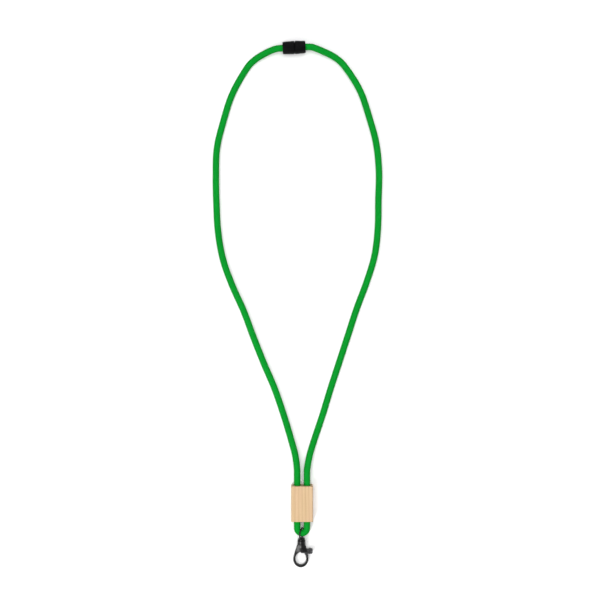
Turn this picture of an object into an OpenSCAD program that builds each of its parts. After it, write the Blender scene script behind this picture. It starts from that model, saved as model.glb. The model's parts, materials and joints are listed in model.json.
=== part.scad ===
// Neck lanyard of round cord with a breakaway clasp, a wooden slider and a swivel hook.
// It lies flat: +Z is up, +Y points to the clasp, and the hook is at the -Y end.
// Millimetres. The origin is on the resting surface, in the middle of the hard pieces.

/* [Cord] */
// Diameter of the round cord
cord_d = 6; // [5.6:0.1:6.1]
// Distance between the two strands where they pass the slider
strand_pitch = 9; // [8.8:0.1:9.4]
// Sides of the swept strands
cord_sides = 12; // [8:1:12]

/* [Slider block] */
// Width across both strands
block_w = 20; // [19:0.5:20]
// Length along the strands
block_l = 32.5; // [28:0.5:33]
// Thickness, which is also the height of the object
block_t = 12; // [11.5:0.5:12]
// Diameter of each strand's hole
block_bore_d = 6.4; // [6.3:0.1:6.8]

/* [Breakaway clasp] */
// Outer diameter at the parting line
clasp_d = 11.9; // [11.6:0.1:12]
// Outer diameter at the cord ends
clasp_end_d = 11; // [10.6:0.1:11.4]
// Length of the socket half
socket_l = 10.9; // [10.5:0.1:11.5]
// Length of the plug half without its snout
plug_l = 10.1; // [9.8:0.1:11]
// Angle of the clasp's axis to +X
clasp_yaw = 3; // [0:0.5:4]

/* [Swivel hook] */
// Wire diameter of the swivel eye
eye_wire_d = 1.3; // [1.2:0.05:1.4]
// Angle of the eye's plane to the hook's plane
eye_turn = 65; // [60:1:70]
// Outer width of the hook's ring
ring_w = 14; // [13:0.5:14.5]
// Thickness of the hook's ring
ring_t = 3.6; // [3:0.1:3.6]
// Thickness of the hook's body over both cheeks
body_t = 5.2; // [5:0.1:5.4]
// Slope of the hook from the cord down to the resting surface
hook_pitch = 7.5; // [7.3:0.1:7.5]

/* [Hidden] */
$fn = 64;
over = 0.5;                        // how far a cut runs past the face it starts from
cord_r = cord_d / 2;
mid_z = block_t / 2;               // height of the strands in the slider and of the clasp's axis

// Places of the hard pieces
block_x = 4;
block_y = -182.25;
strand_x = [block_x - strand_pitch / 2, block_x + strand_pitch / 2];
straight_top_y = -153;             // the strands are straight and parallel below this line
bend_y = -205.4;                   // centre of the U-bend that holds the eye
clasp_at = [-3, 236.5, mid_z];     // middle of the clasp's parting line

// Cord's routes from the clasp to the straight stretch, as points on the centreline
left_route = [
    [-13.9, 235.9, 6], [-20, 235.3, 5.7], [-29, 232, 4.4], [-40, 225.5, 3.2], [-48, 216.5, 3],
    [-60.5, 194, 3], [-68.5, 169.5, 3], [-74.5, 144.5, 3], [-75.5, 119, 3], [-75, 93, 3],
    [-73.5, 67.5, 3], [-69, 42, 3], [-60.5, 18, 3], [-50, -5.5, 3], [-41, -29.5, 3],
    [-31.5, -53.5, 3], [-21.5, -77, 3], [-13, -101.5, 3], [-5.5, -126.5, 3.4], [-2, -140, 4.9],
    [-0.5, -153, 6]
];
right_route = [
    [7.1, 237, 6], [13.5, 236.8, 5.7], [23, 233.5, 4.4], [34.5, 228, 3.2], [44, 219, 3],
    [57.5, 197.5, 3], [66, 173, 3], [72.5, 148.5, 3], [75, 123, 3], [74.5, 97, 3],
    [74, 71, 3], [71, 45.5, 3], [63.5, 20.5, 3], [54.5, -3.5, 3], [46.5, -28, 3],
    [38.5, -52.5, 3], [30.5, -77, 3], [23, -101.5, 3], [14.5, -127, 3.4], [10.7, -140, 4.9],
    [8.5, -153, 6]
];
ring_step = 14;                    // longest distance between two rings of a swept strand

// Slider
block_edge_r = 1.2;                // rounding of the four long edges
bore_mouth = 0.4;                  // chamfer at each hole's mouth

// Clasp, measured along its axis from the parting line
clasp_wall_end = 1.5;              // thickness of each half's end wall
cord_hole_r = cord_r + 0.1;
ferrule_r = 3.55;
ferrule_l = 3;
crimped_r = 2.8;                   // radius of the cord inside its ferrule
ferrule_gap = 0.02;
chamber_r = ferrule_r + 0.05;
snout_r = 4.4;
snout_l = 5.6;
snout_bore_r = 4.5;                // the socket's bore round the snout
snout_bore_l = 6.2;
bead_r = 4.48;
bead_at = 3.9;
bead_w = 1;
groove_r = 4.8;
groove_w = 1.6;
finger_slot_w = 0.9;
finger_slot_l = 4.6;
parting_gap = 0.1;
edge = 0.4;                        // chamfer of the outer edges

// Hook, in its own frame: origin at the eye's centre, -Y towards the ring, Z through its thickness
eye_at = [3.7, -210.3, mid_z];
hook_yaw = -2;
eye_r = 4.6;                       // radius of the eye's wire centreline
eye_up = 0.3;                      // centre of the eye's wire above the hook's origin
eye_web = 3.5;                     // distance from the eye's centre to the edge of its solid root
collar_r = 3.2;
collar_top = -4.5;
collar_end = -6.2;
stem_r = 1.2;
stem_end = -10.2;
head_r = 1.9;
head_l = 0.9;
barrel_r = 3.7;
barrel_top = -6.4;
barrel_end = -9.9;
chamber_top = -9.2;                // the space for the stem's head, open to the trigger's slot
chamber_end = -11.2;
swivel_gap = 0.06;
ring_at = -24.3;                   // centre of the ring's oval
ring_out = [ring_w / 2, 7.9];
ring_in = [ring_w / 2 - 2, 5.85];
ring_in_top = 7.1;                 // the opening's half height above the ring's centre
shoulder = [3.3, -9.3];            // right end of the body's upper edge
flank = [6.6, -20.6];              // where the body's straight flank meets the ring's oval
slot_t = 2.6;                      // width of the trigger's slot between the cheeks
slot_wall = 3;                     // distance from the pivot to the slot's closed side
slot_end = -21.8;                  // the slot runs down to here, past the gate's root
pivot = [-0.3, -14.9];
rivet_r = 0.75;
rivet_head_r = 1.4;
rivet_head_t = 0.5;
rivet_gap = 0.04;
trigger_t = 2.2;
trigger_hub_r = 2.4;
gate_reach = 10;                   // distance from the pivot to the gate's tip
gate_gap = 0.3;
gate_room_x = 2;                   // left and upper side of the space cleared for the gate
gate_room_y = -17.2;
tab = [10.7, -14.2, -18.9];        // right end, upper edge and lower edge of the thumb tab
tab_root = 6.8;                    // the tab is thicker from here outwards
lever_inset = 0.3;                 // the lever in the slot is lower than the tab by this on each side
tab_t = 3.2;
spring_r = 1.6;
spring_wire_d = 0.4;
spring_floor = 0.15;               // height of the spring's seat in the trigger's hub
spring_leg_l = 2.6;
coil_pitch = 0.36;

// A point on a Catmull-Rom curve between b and c
function curve_point(a, b, c, d, t) =
    0.5 * (2 * b + (c - a) * t + (2 * a - 5 * b + 4 * c - d) * t * t
        + (3 * b - a - 3 * c + d) * t * t * t);

// The route's points with more between them, so that no step is longer than ring_step
function smooth_route(p) = [
    for (i = [0 : len(p) - 2])
        let (
            before = i > 0 ? p[i - 1] : 2 * p[0] - p[1],
            after = i < len(p) - 2 ? p[i + 2] : p[i + 1] + [0, -10, 0],
            steps = ceil(norm(p[i + 1] - p[i]) / ring_step)
        )
        for (k = [0 : steps - 1]) resting(curve_point(before, p[i], p[i + 1], after, k / steps)),
    p[len(p) - 1]
];

// A centreline point, lifted so that the cord isn't below the resting surface
function resting(p) = [p[0], p[1], max(p[2], cord_r)];

// A tube swept along points that never run straight up. First and last directions are given.
module swept_cord(points, first, last_dir) {
    n = len(points);
    sides = cord_sides;
    rings = [
        for (i = [0 : n - 1])
            let (
                ahead = i == 0 ? first : i == n - 1 ? last_dir : points[i + 1] - points[i - 1],
                side = cross(ahead, [0, 0, 1]) / norm(cross(ahead, [0, 0, 1])),
                up = cross(side, ahead) / norm(ahead)
            )
            for (k = [0 : sides - 1])
                points[i] + cord_r * (cos(360 * k / sides) * side + sin(360 * k / sides) * up)
    ];
    walls = [
        for (i = [0 : n - 2])
            for (k = [0 : sides - 1])
                let (a = i * sides + k, b = i * sides + (k + 1) % sides)
                    each [[a, b, b + sides], [a, b + sides, a + sides]]
    ];
    start_cap = [for (k = [sides - 1 : -1 : 0]) k];
    end_cap = [for (k = [0 : sides - 1]) (n - 1) * sides + k];
    polyhedron(rings, concat(walls, [start_cap, end_cap]), convexity = 6);
}

// An oval outline with half widths r, and the half height top above its centre
function oval(r, top) = [for (a = [0 : 5 : 355]) [r[0] * cos(a), (a < 180 ? top : r[1]) * sin(a)]];

module cord_left() {
    color("#1faa36")
        swept_cord(smooth_route(left_route), [-cos(clasp_yaw), -sin(clasp_yaw), 0], [0, -1, 0]);
}

module cord_right() {
    color("#1faa36")
        swept_cord(smooth_route(right_route), [cos(clasp_yaw), sin(clasp_yaw), 0], [0, -1, 0]);
}

// Both strands through the slider and the bend that carries the hook
module cord_loop() {
    color("#1faa36") {
        for (x = strand_x)
            translate([x, straight_top_y, mid_z])
                rotate([90, 0, 0])
                    cylinder(h = straight_top_y - bend_y, r = cord_r);
        translate([block_x, bend_y, mid_z])
            rotate([0, 0, 180])
                rotate_extrude(angle = 180)
                    translate([strand_pitch / 2, 0])
                        circle(r = cord_r);
    }
}

// Puts a shape drawn along +Z onto the clasp's axis, with z = 0 at the parting line
module on_clasp(half) {
    translate(clasp_at)
        rotate([0, 0, clasp_yaw])
            rotate([0, half * 90, 0])
                children();
}

// A cord's end: full size in the end wall, crimped in the ferrule
module cord_end(length) {
    translate([0, 0, length - clasp_wall_end])
        cylinder(h = clasp_wall_end, r = cord_r);
    translate([0, 0, length - clasp_wall_end - ferrule_l])
        cylinder(h = ferrule_l, r = crimped_r);
}

module cord_end_socket() {
    color("#1faa36") on_clasp(-1) cord_end(socket_l);
}

module cord_end_plug() {
    color("#1faa36") on_clasp(1) cord_end(plug_l);
}

// A crimped ring that keeps the cord's end behind the end wall
module ferrule(length) {
    translate([0, 0, length - clasp_wall_end - ferrule_l])
        difference() {
            cylinder(h = ferrule_l, r = ferrule_r);
            translate([0, 0, -over])
                cylinder(h = ferrule_l + 2 * over, r = crimped_r + ferrule_gap);
        }
}

module socket_ferrule() {
    color("#b8bcc0") on_clasp(-1) ferrule(socket_l);
}

module plug_ferrule() {
    color("#b8bcc0") on_clasp(1) ferrule(plug_l);
}

// The outside of one half from start to length, with chamfered ends
module clasp_barrel(start, length) {
    slope = (clasp_d - clasp_end_d) / 2 / length;
    translate([0, 0, start])
        cylinder(h = edge, r1 = clasp_d / 2 - edge, r2 = clasp_d / 2 - edge * slope);
    translate([0, 0, start + edge])
        cylinder(h = length - start - 2 * edge, r1 = clasp_d / 2 - edge * slope, r2 = clasp_end_d / 2);
    translate([0, 0, length - edge])
        cylinder(h = edge, r1 = clasp_end_d / 2, r2 = clasp_end_d / 2 - edge);
}

// Female half: a bore with a snap groove, then the ferrule's chamber
module socket_half() {
    color("#1b1b1d")
        on_clasp(-1)
            difference() {
                clasp_barrel(0, socket_l);
                translate([0, 0, -over])
                    cylinder(h = snout_bore_l + over, r = snout_bore_r);
                translate([0, 0, bead_at - groove_w / 2])
                    cylinder(h = groove_w, r = groove_r);
                cylinder(h = socket_l - clasp_wall_end, r = chamber_r);
                cylinder(h = socket_l + over, r = cord_hole_r);
            }
}

// Male half: a shell with a split snout and a snap bead
module plug_half() {
    color("#1b1b1d")
        on_clasp(1)
            difference() {
                union() {
                    clasp_barrel(parting_gap, plug_l);
                    translate([0, 0, -snout_l])
                        cylinder(h = snout_l + 1, r = snout_r);
                    translate([0, 0, -bead_at - bead_w / 2])
                        cylinder(h = bead_w / 2, r1 = snout_r, r2 = bead_r);
                    translate([0, 0, -bead_at])
                        cylinder(h = bead_w / 2, r1 = bead_r, r2 = snout_r);
                }
                translate([0, 0, -snout_l - over])
                    cylinder(h = snout_l + plug_l - clasp_wall_end + over, r = chamber_r);
                cylinder(h = plug_l + over, r = cord_hole_r);
                for (turn = [45, 135])
                    rotate([0, 0, turn])
                        translate([-clasp_d / 2, -finger_slot_w / 2, -snout_l - over])
                            cube([clasp_d, finger_slot_w, finger_slot_l + over]);
            }
}

// Wooden slider with a hole for each strand
module slider_block() {
    color("#e2c29b")
        translate([block_x, block_y + block_l / 2, mid_z])
            rotate([90, 0, 0])
                difference() {
                    rounded_bar();
                    for (side = [-1, 1])
                        translate([side * strand_pitch / 2, 0, 0]) {
                            translate([0, 0, -over])
                                cylinder(h = block_l + 2 * over, d = block_bore_d);
                            translate([0, 0, -bore_mouth])
                                cylinder(
                                    h = 2 * bore_mouth,
                                    r1 = block_bore_d / 2 + 2 * bore_mouth,
                                    r2 = block_bore_d / 2
                                );
                            translate([0, 0, block_l - bore_mouth])
                                cylinder(
                                    h = 2 * bore_mouth,
                                    r1 = block_bore_d / 2,
                                    r2 = block_bore_d / 2 + 2 * bore_mouth
                                );
                        }
                }
}

// A bar with round long edges, made of two slabs and four round corners
module rounded_bar() {
    inner_w = block_w - 2 * block_edge_r;
    inner_t = block_t - 2 * block_edge_r;
    linear_extrude(block_l) {
        square([inner_w, block_t], center = true);
        square([block_w, inner_t], center = true);
        for (sx = [-1, 1], sy = [-1, 1])
            translate([sx * inner_w / 2, sy * inner_t / 2])
                circle(r = block_edge_r);
    }
}

// Puts the hook's own frame in its place
module on_hook() {
    translate(eye_at)
        rotate([hook_pitch, 0, hook_yaw])
            children();
}

// Round eye with a solid root, its collar, stem and peened head
module swivel_eye() {
    color("#26262a")
        on_hook() {
            translate([0, eye_up, 0])
                rotate([0, eye_turn, 0]) {
                    rotate_extrude()
                        translate([eye_r, 0])
                            circle(d = eye_wire_d);
                    linear_extrude(eye_wire_d, center = true) eye_root();
                }
            down_hook(collar_top, collar_end, collar_r);
            down_hook(collar_end + 0.1, stem_end, stem_r);
            down_hook(stem_end + head_l, stem_end, head_r);
        }
}

// The segment of the eye that is filled at the collar
module eye_root() {
    intersection() {
        circle(r = eye_r);
        translate([-eye_r, -eye_r - eye_web]) square([2 * eye_r, eye_r]);
    }
}

// A cylinder on the hook's long axis from y = top down to y = end
module down_hook(top, end, radius) {
    translate([0, top, 0])
        rotate([90, 0, 0])
            cylinder(h = top - end, r = radius);
}

// The body's tapered outline, down to the ring's opening
module body_outline() {
    difference() {
        polygon([[-shoulder[0], shoulder[1]], shoulder, flank, [-flank[0], flank[1]]]);
        ring_opening();
    }
}

// The ring's opening is a little taller above its centre than below
module ring_opening() {
    translate([0, ring_at]) polygon(oval(ring_in, ring_in_top));
}

// The claw that the trigger's gate closes: the ring without the gate's stretch
module claw_outline() {
    difference() {
        translate([0, ring_at]) polygon(oval(ring_out, ring_out[1]));
        ring_opening();
        gate_room();
    }
}

// The sector that the gate sweeps, right of the body
module gate_room() {
    intersection() {
        translate(pivot) circle(r = gate_reach + gate_gap);
        translate([gate_room_x, gate_room_y - gate_reach]) square(gate_reach);
    }
}

// Hook body: barrel, two cheeks with the trigger's slot, and the claw
module hook_body() {
    color("#2b2b2f")
        on_hook()
            difference() {
                union() {
                    down_hook(barrel_top, barrel_end, barrel_r);
                    linear_extrude(body_t, center = true)
                        difference() {
                            body_outline();
                            gate_room();
                        }
                    linear_extrude(ring_t, center = true) claw_outline();
                }
                down_hook(barrel_top + over, chamber_end, stem_r + swivel_gap);
                down_hook(chamber_top, chamber_end, head_r + swivel_gap);
                linear_extrude(slot_t, center = true) slot_outline();
                translate([pivot[0], pivot[1], -body_t])
                    cylinder(h = 2 * body_t, r = rivet_r + rivet_gap);
            }
}

// The space between the cheeks, open to the right and to the ring
module slot_outline() {
    translate([pivot[0] - slot_wall, slot_end])
        square([ring_w, chamber_end - slot_end]);
}

// Trigger: hub on the rivet, gate arm and thumb tab
module trigger() {
    color("#4a4a4e")
        on_hook()
            difference() {
                union() {
                    linear_extrude(trigger_t, center = true) {
                        translate(pivot) circle(r = trigger_hub_r);
                        gate_outline();
                        lever_outline();
                    }
                    linear_extrude(tab_t, center = true) tab_outline();
                }
                translate([pivot[0], pivot[1], -body_t])
                    cylinder(h = 2 * body_t, r = rivet_r + rivet_gap);
                translate([pivot[0], pivot[1], spring_floor])
                    cylinder(h = body_t, r = trigger_hub_r + 0.2);
                translate([pivot[0], pivot[1] - trigger_hub_r, spring_floor])
                    cube([spring_leg_l + 0.6, trigger_hub_r, body_t]);
            }
}

// The lever from the hub to the thumb tab
module lever_outline() {
    translate([pivot[0], tab[2] + lever_inset])
        square([tab_root - pivot[0] + 1, tab[1] - tab[2] - 2 * lever_inset]);
}

// The gate arm ends on an arc about the pivot, so that it clears the claw as it swings in
module gate_outline() {
    intersection() {
        translate(pivot) circle(r = gate_reach);
        polygon([
            [0, -17], [5.2, -16.2], [5.9, -18], [6.75, flank[1]],
            [7, ring_at], [5, ring_at], [4.4, -21], [3.2, -18.6]
        ]);
    }
}

// The thumb tab, with a round outer end
module tab_outline() {
    tab_h = tab[1] - tab[2];
    round_x = tab[0] - tab_h / 2;
    intersection() {
        union() {
            translate([tab_root, tab[2]]) square([round_x - tab_root, tab_h]);
            translate([round_x, tab[2] + tab_h / 2]) circle(d = tab_h);
        }
        translate([tab_root, tab[2] - over]) square([tab[0], tab_h + 2 * over]);
    }
}

// Rivet through both cheeks, with a low head on each side
module trigger_rivet() {
    color("#3a3a3e")
        on_hook()
            translate([pivot[0], pivot[1], 0]) {
                cylinder(h = body_t + 2 * rivet_head_t, r = rivet_r, center = true);
                for (side = [-1, 1])
                    translate([0, 0, side * (body_t + rivet_head_t) / 2])
                        cylinder(h = rivet_head_t, r = rivet_head_r, center = true);
            }
}

// Torsion spring round the rivet: two coils and two legs
module trigger_spring() {
    color("#9a9da2")
        on_hook()
            translate([pivot[0], pivot[1], spring_floor + spring_wire_d / 2 + 0.05]) {
                for (turn = [0, 1])
                    translate([0, 0, turn * coil_pitch])
                        rotate_extrude()
                            translate([spring_r - spring_wire_d / 2, 0])
                                circle(d = spring_wire_d, $fn = 24);
                translate([0, spring_wire_d / 2 - spring_r, 0])
                    rotate([0, 90, 0])
                        cylinder(h = spring_leg_l, d = spring_wire_d, $fn = 24);
                translate([0, spring_r - spring_wire_d / 2, coil_pitch])
                    rotate([0, -90, 0])
                        cylinder(h = spring_leg_l, d = spring_wire_d, $fn = 24);
            }
}

cord_left();
cord_loop();
cord_right();
cord_end_socket();
cord_end_plug();
socket_half();
socket_ferrule();
plug_half();
plug_ferrule();
slider_block();
swivel_eye();
hook_body();
trigger();
trigger_rivet();
trigger_spring();
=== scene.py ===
"""Looks of the neck lanyard: braided cord, moulded clasp, wooden slider and cast swivel hook.

Lengths are written in millimetres and turned into metres with MM. The order is frame, mesh helpers,
distance functions, camera and light, materials, cords, slider, clasp and hook. The last lines build them.
"""

import json
import math

import bmesh
import bpy
import numpy as np
from mathutils import Matrix, Vector


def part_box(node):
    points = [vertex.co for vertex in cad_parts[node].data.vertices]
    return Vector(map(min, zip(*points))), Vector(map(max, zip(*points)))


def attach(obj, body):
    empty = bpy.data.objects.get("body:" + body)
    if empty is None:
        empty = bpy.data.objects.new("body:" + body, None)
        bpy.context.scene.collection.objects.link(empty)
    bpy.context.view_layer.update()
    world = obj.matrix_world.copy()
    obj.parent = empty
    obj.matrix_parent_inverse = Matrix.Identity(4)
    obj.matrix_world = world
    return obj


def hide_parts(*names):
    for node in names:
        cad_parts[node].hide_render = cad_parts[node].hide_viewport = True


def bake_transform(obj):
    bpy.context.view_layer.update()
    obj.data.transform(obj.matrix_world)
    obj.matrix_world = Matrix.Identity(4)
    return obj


MM = 0.001
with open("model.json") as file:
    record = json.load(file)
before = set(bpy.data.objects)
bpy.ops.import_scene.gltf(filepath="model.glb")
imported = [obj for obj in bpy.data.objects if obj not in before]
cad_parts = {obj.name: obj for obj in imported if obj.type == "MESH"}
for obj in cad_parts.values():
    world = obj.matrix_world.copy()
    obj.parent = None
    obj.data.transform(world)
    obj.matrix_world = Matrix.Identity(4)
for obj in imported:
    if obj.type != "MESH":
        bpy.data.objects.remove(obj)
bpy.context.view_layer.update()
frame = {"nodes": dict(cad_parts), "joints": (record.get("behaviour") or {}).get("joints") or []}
joints = {j["name"]: j for j in frame["joints"]}


# ---------------------------------------------------------------- mesh helpers


def mesh_object(name, verts, faces, smooth=True):
    """A linked object from points in metres and lists of point numbers."""
    mesh = bpy.data.meshes.new(name)
    mesh.from_pydata([tuple(v) for v in verts], [], [tuple(f) for f in faces])
    mesh.validate()
    if smooth:
        mesh.shade_smooth()
    obj = bpy.data.objects.new(name, mesh)
    bpy.context.scene.collection.objects.link(obj)
    return obj


def unit(v):
    """The direction of v."""
    v = np.asarray(v, float)
    return v / np.linalg.norm(v)


def node_points(name):
    """A CAD node's points in millimetres."""
    return np.array([v.co for v in frame["nodes"][name].data.vertices]) / MM


def frame_matrix(origin, x_axis, y_axis, z_axis):
    """The matrix that takes a local frame in millimetres to the row frame in metres."""
    m = np.eye(4)
    for column, values in enumerate((x_axis, y_axis, z_axis, origin)):
        m[:3, column] = np.array(values) * MM
    return Matrix([list(row) for row in m])


def place(points, matrix):
    """Local points in millimetres, taken to the row frame in metres."""
    m = np.array(matrix)
    return np.asarray(points, float) @ m[:3, :3].T + m[:3, 3]


def catmull_rom(points, after, per_segment=24):
    """A smooth curve through points. after is the direction in which the last one leaves."""
    p = np.array(points, float)
    p = np.vstack([2 * p[0] - p[1], p, p[-1] + np.array(after, float)])
    out = []
    for i in range(1, len(p) - 2):
        a, b, c, d = p[i - 1 : i + 3]
        for t in np.arange(per_segment) / per_segment:
            square, cube = 2 * a - 5 * b + 4 * c - d, 3 * b - a - 3 * c + d
            out.append(0.5 * (2 * b + (c - a) * t + square * t**2 + cube * t**3))
    return np.array(out + [p[-2]])


def resample(points, step):
    """Points along a line at equal distances, close to step apart."""
    p = np.array(points, float)
    s = np.concatenate([[0], np.cumsum(np.linalg.norm(np.diff(p, axis=0), axis=1))])
    at = np.arange(0, s[-1] + 1e-6, step)
    return np.stack([np.interp(at, s, p[:, k]) for k in range(3)], axis=1), at


def fillet(points, radii, steps=5):
    """A polyline whose inner corners are rounded to the given radii, which may be 0."""
    out = [points[0]]
    for before, corner, after, radius in zip(points, points[1:], points[2:], radii[1:-1]):
        a, c, b = (np.array(q, float) for q in (before, corner, after))
        to_a, to_b = unit(a - c), unit(b - c)
        half = math.acos(max(-1, min(1, to_a @ to_b))) / 2
        if radius == 0 or half > math.pi / 2 - 0.01:
            out.append(tuple(c))
            continue
        reach = min(radius / math.tan(half), 0.49 * min(np.linalg.norm(a - c), np.linalg.norm(b - c)))
        for t in np.linspace(0, 1, steps + 1):
            start, end = c + to_a * reach, c + to_b * reach
            out.append(tuple((1 - t) ** 2 * start + 2 * t * (1 - t) * c + t**2 * end))
    out.append(points[-1])
    return out


def lathe(name, profile, matrix, sides=96, seam=0.0):
    """A closed profile of (distance along the axis, radius) turned about the local X axis.
    seam raises two opposite mould lines by that many millimetres on the outside."""
    n = len(profile)
    outside = max(r for _, r in profile) * 0.85
    verts = []
    for k in range(sides):
        angle = 2 * math.pi * k / sides
        lift = seam if k % (sides // 2) == 0 else 0
        for x, r in profile:
            radius = r + (lift if r > outside else 0)
            verts.append((x, radius * math.cos(angle), radius * math.sin(angle)))
    faces = []
    for k in range(sides):
        a, b = k * n, (k + 1) % sides * n
        faces += [(a + i, a + (i + 1) % n, b + (i + 1) % n, b + i) for i in range(n)]
    obj = mesh_object(name, place(verts, matrix), faces)
    tidy(obj)
    return obj


def tidy(obj, sharp=35):
    """Merges doubled points, turns the faces outwards and keeps edges over sharp degrees crisp."""
    bm = bmesh.new()
    bm.from_mesh(obj.data)
    bmesh.ops.remove_doubles(bm, verts=bm.verts, dist=0.002 * MM)
    bmesh.ops.dissolve_degenerate(bm, edges=bm.edges, dist=0.001 * MM)
    bmesh.ops.recalc_face_normals(bm, faces=bm.faces)
    bm.to_mesh(obj.data)
    bm.free()
    obj.data.shade_smooth()
    obj.data.set_sharp_from_angle(angle=math.radians(sharp))


# ---------------------------------------------------------------- solids from distance functions


def smooth_min(a, b, k):
    """Union of two distances with a fillet of about k."""
    h = np.clip(0.5 + 0.5 * (b - a) / k, 0, 1)
    return b * (1 - h) + a * h - k * h * (1 - h)


def smooth_max(a, b, k):
    """Overlap of two distances with a rounding of about k."""
    return -smooth_min(-a, -b, k)


def box_distance(p, low, high, r=0.0):
    """Distance to a box with edges rounded to r."""
    low, high = np.array(low, float), np.array(high, float)
    q = np.abs(p - (low + high) / 2) - (high - low) / 2 + r
    return np.linalg.norm(np.maximum(q, 0), axis=-1) + np.minimum(q.max(axis=-1), 0) - r


def rod_distance(p, a, b, radius, r=0.0):
    """Distance to a flat-ended cylinder from a to b with edges rounded to r."""
    a, b = np.array(a, float), np.array(b, float)
    axis = unit(b - a)
    along = (p - (a + b) / 2) @ axis
    away = np.linalg.norm(p - (a + b) / 2 - along[..., None] * axis, axis=-1)
    q = np.stack([away - radius + r, np.abs(along) - np.linalg.norm(b - a) / 2 + r], axis=-1)
    return np.linalg.norm(np.maximum(q, 0), axis=-1) + np.minimum(q.max(axis=-1), 0) - r


def polygon_distance(p, corners):
    """Signed distance in the XY plane to a polygon."""
    x = p[..., :2]
    best = np.full(x.shape[:-1], 1e9)
    sign = np.ones(x.shape[:-1])
    c = np.array(corners, float)
    for a, b in zip(c, np.roll(c, -1, axis=0)):
        edge, w = b - a, x - a
        t = np.clip((w @ edge) / (edge @ edge), 0, 1)
        best = np.minimum(best, np.sum((w - t[..., None] * edge) ** 2, axis=-1))
        above_a, above_b = x[..., 1] >= a[1], x[..., 1] >= b[1]
        left = edge[0] * w[..., 1] - edge[1] * w[..., 0] > 0
        sign = np.where((above_a & ~above_b & ~left) | (~above_a & above_b & left), -sign, sign)
    return sign * np.sqrt(best)


def oval_distance(p, centre_y, half, top):
    """Close to the signed distance in the XY plane to an oval of half widths half, whose half
    height above the centre is top."""
    q = np.stack([p[..., 0], p[..., 1] - centre_y], axis=-1)
    half = np.stack([np.full(q.shape[:-1], half[0]), np.where(q[..., 1] > 0, top, half[1])], axis=-1)
    k0 = np.linalg.norm(q / half, axis=-1) + 1e-9
    k1 = np.linalg.norm(q / np.square(half), axis=-1) + 1e-9
    return k0 * (k0 - 1) / k1


def slab(flat, p, half, r=0.0):
    """A flat outline's distance made into a plate of half thickness half, edges rounded to r."""
    q = np.stack([flat + r, np.abs(p[..., 2]) - half + r], axis=-1)
    return np.linalg.norm(np.maximum(q, 0), axis=-1) + np.minimum(q.max(axis=-1), 0) - r


def solid(name, distance, low, high, step, matrix):
    """Meshes distance(p) < 0 inside a box: one point for each crossed cell, pulled onto the surface."""
    counts = [int(math.ceil((h - l) / step)) + 1 for l, h in zip(low, high)]
    axes = [l + step * np.arange(n) for l, n in zip(low, counts)]
    grid = np.stack(np.meshgrid(*axes, indexing="ij"), axis=-1)
    field = distance(grid)
    cells = tuple(n - 1 for n in counts)
    total, hits = np.zeros((np.prod(cells), 3)), np.zeros(np.prod(cells))
    rings = []
    for axis in range(3):
        f0 = np.take(field, range(counts[axis] - 1), axis)
        f1 = np.take(field, range(1, counts[axis]), axis)
        at = np.argwhere((f0 < 0) != (f1 < 0))
        u, v = [k for k in range(3) if k != axis]
        at = at[(at[:, u] > 0) & (at[:, v] > 0) & (at[:, u] < cells[u]) & (at[:, v] < cells[v])]
        a, b = f0[tuple(at.T)], f1[tuple(at.T)]
        point = at.astype(float)
        point[:, axis] += a / (a - b)
        ring = []
        for du, dv in ((0, 0), (1, 0), (1, 1), (0, 1)):
            cell = at.copy()
            cell[:, u] -= du
            cell[:, v] -= dv
            flat = np.ravel_multi_index(cell.T, cells)
            np.add.at(total, flat, point)
            np.add.at(hits, flat, 1)
            ring.append(flat)
        ring = np.stack(ring, axis=1)
        rings.append(np.where(((a < 0) ^ (axis == 1))[:, None], ring, ring[:, ::-1]))
    used = np.flatnonzero(hits)
    number = np.full(len(hits), -1)
    number[used] = np.arange(len(used))
    verts = np.array(low) + step * total[used] / hits[used, None]
    small = 0.02
    for _ in range(3):
        slope = np.stack([distance(verts + d) - distance(verts - d) for d in np.eye(3) * small], axis=1)
        slope /= 2 * small
        size = np.maximum(np.sum(slope**2, axis=1), 0.25)
        verts -= np.clip(distance(verts) / size, -step, step)[:, None] * slope
    return mesh_object(name, place(verts, matrix), number[np.vstack(rings)])


# ---------------------------------------------------------------- camera, floor and light

CAMERA_HEIGHT = 850
CAMERA_AT = (2.1, 4.3)
CAMERA_ANGLE = 36.2    # degrees across the picture
FLOOR_REACH = 3.0      # metres from the middle to each side

# name: place in metres, size in metres, watts, and whether it shows in glossy surfaces
LIGHTS = {
    "overhead_light": ((0, 0, 1.6), 1.3, 20, False),
    "key_light": ((-0.6, -0.75, 0.95), 0.5, 8, True),
    "back_light": ((0.3, 0.95, 1.1), 0.9, 5, True),
}
WORLD_STRENGTH = 0.3

camera = bpy.data.objects.new("camera", bpy.data.cameras.new("camera"))
camera.location = (CAMERA_AT[0] * MM, CAMERA_AT[1] * MM, CAMERA_HEIGHT * MM)
camera.data.angle = math.radians(CAMERA_ANGLE)
camera.data.clip_start = 0.01
bpy.context.scene.collection.objects.link(camera)
bpy.context.scene.camera = camera


def soft_light(name, at, size, power, glossy):
    """A square light that faces the origin."""
    data = bpy.data.lights.new(name, "AREA")
    data.size = size
    data.energy = power
    obj = bpy.data.objects.new(name, data)
    obj.location = at
    obj.rotation_euler = (-Vector(at)).to_track_quat("-Z", "Y").to_euler()
    obj.visible_glossy = glossy
    bpy.context.scene.collection.objects.link(obj)


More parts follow.
